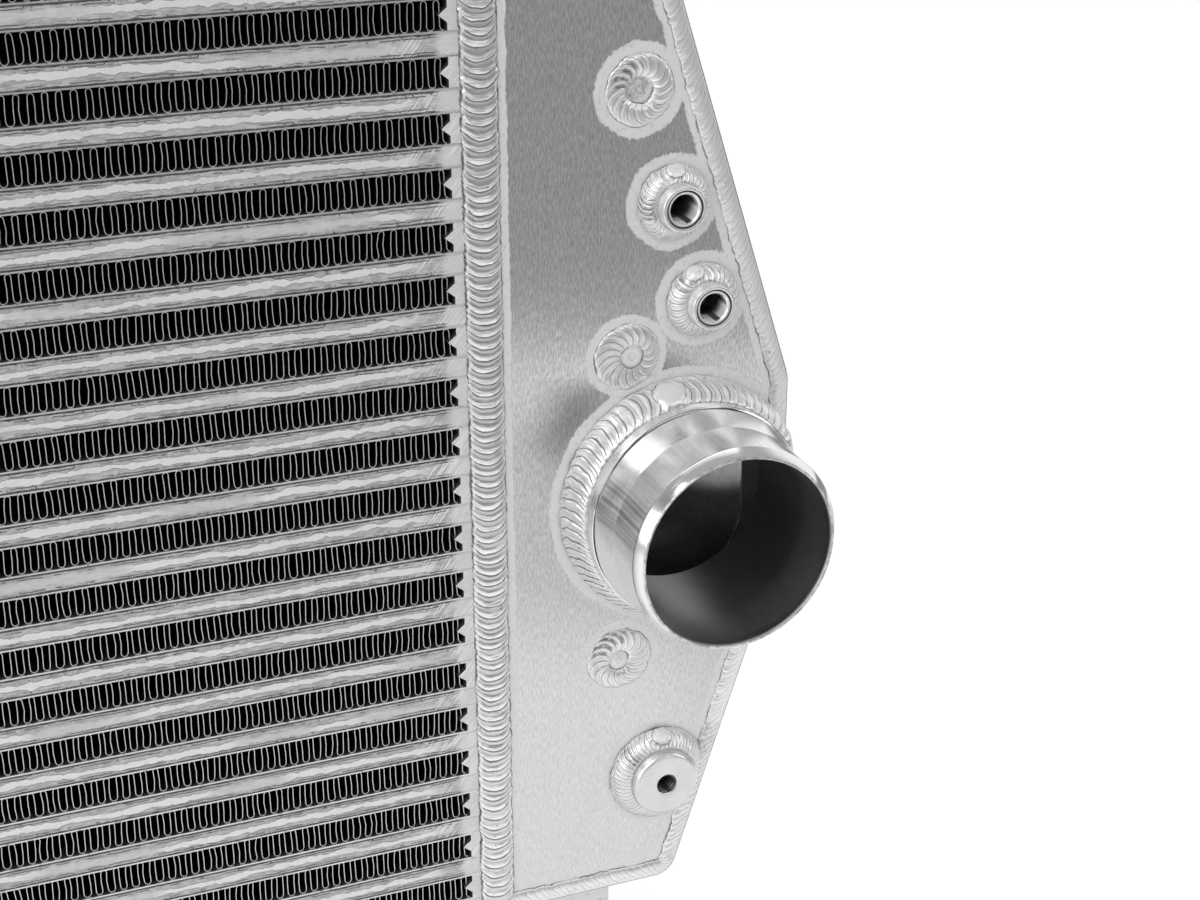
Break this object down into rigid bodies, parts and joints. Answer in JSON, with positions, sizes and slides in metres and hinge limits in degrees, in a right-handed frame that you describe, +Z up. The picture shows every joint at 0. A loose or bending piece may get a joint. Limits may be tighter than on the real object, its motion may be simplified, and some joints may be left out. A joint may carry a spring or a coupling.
{
  "type": "intercooler",
  "caption": "Bar-and-plate charge-air cooler core between welded aluminium end tanks, with forward-facing hose necks, threaded ports, a tapped boss and bent plate feet.",
  "frame": {"origin": "on the floor, under the middle of the object's bounding box", "axes": "+X along the core to the tank with the ports, +Y back through the core, +Z up"},
  "size_m": [0.6842, 0.1378, 0.3596],
  "materials": {
    "core_plate": "rolled aluminium plate with a fine linear grain",
    "core_bar": "extruded aluminium, lightly sanded",
    "fin": "thin aluminium sheet, dark between bright edges",
    "tank_sheet": "aluminium sheet brushed up and down",
    "neck": "turned aluminium, mirror bright",
    "fitting": "turned aluminium, satin",
    "stay": "drawn aluminium rod",
    "weld": "aluminium weld, bright and rippled",
    "foot": "bent aluminium plate, satin"
  },
  "bodies": {
    "root": {"bottom_plate": "core_plate", "top_plate": "core_plate", "parting_plates": "core_plate", "front_bars": "core_bar", "rear_bars": "core_bar", "left_end_bars": "core_bar", "right_end_bars": "core_bar", "inner_fins": "fin", "cooling_fin_01": "fin", "cooling_fin_02": "fin", "cooling_fin_03": "fin", "cooling_fin_04": "fin", "cooling_fin_05": "fin", "cooling_fin_06": "fin", "cooling_fin_07": "fin", "cooling_fin_08": "fin", "cooling_fin_09": "fin", "cooling_fin_10": "fin", "cooling_fin_11": "fin", "cooling_fin_12": "fin", "cooling_fin_13": "fin", "cooling_fin_14": "fin", "cooling_fin_15": "fin", "cooling_fin_16": "fin", "cooling_fin_17": "fin", "cooling_fin_18": "fin", "cooling_fin_19": "fin", "cooling_fin_20": "fin", "right_front_sheet": "tank_sheet", "right_rear_sheet": "tank_sheet", "right_wrap": "tank_sheet", "right_neck": "neck", "upper_port": "fitting", "lower_port": "fitting", "mounting_boss": "fitting", "top_stay": "stay", "middle_stay": "stay", "bottom_stay": "stay", "front_plug_welds": "weld", "rear_plug_welds": "weld", "right_neck_weld": "weld", "upper_port_weld": "weld", "lower_port_weld": "weld", "boss_weld": "weld", "right_front_edge_weld": "weld", "right_rear_edge_weld": "weld", "right_core_weld": "weld", "right_foot": "foot", "right_foot_welds": "weld", "left_front_sheet": "tank_sheet", "left_rear_sheet": "tank_sheet", "left_wrap": "tank_sheet", "left_neck": "neck", "left_neck_weld": "weld", "left_front_edge_weld": "weld", "left_rear_edge_weld": "weld", "left_core_weld": "weld", "left_foot": "foot", "left_foot_welds": "weld"}
  },
  "joints": []
}
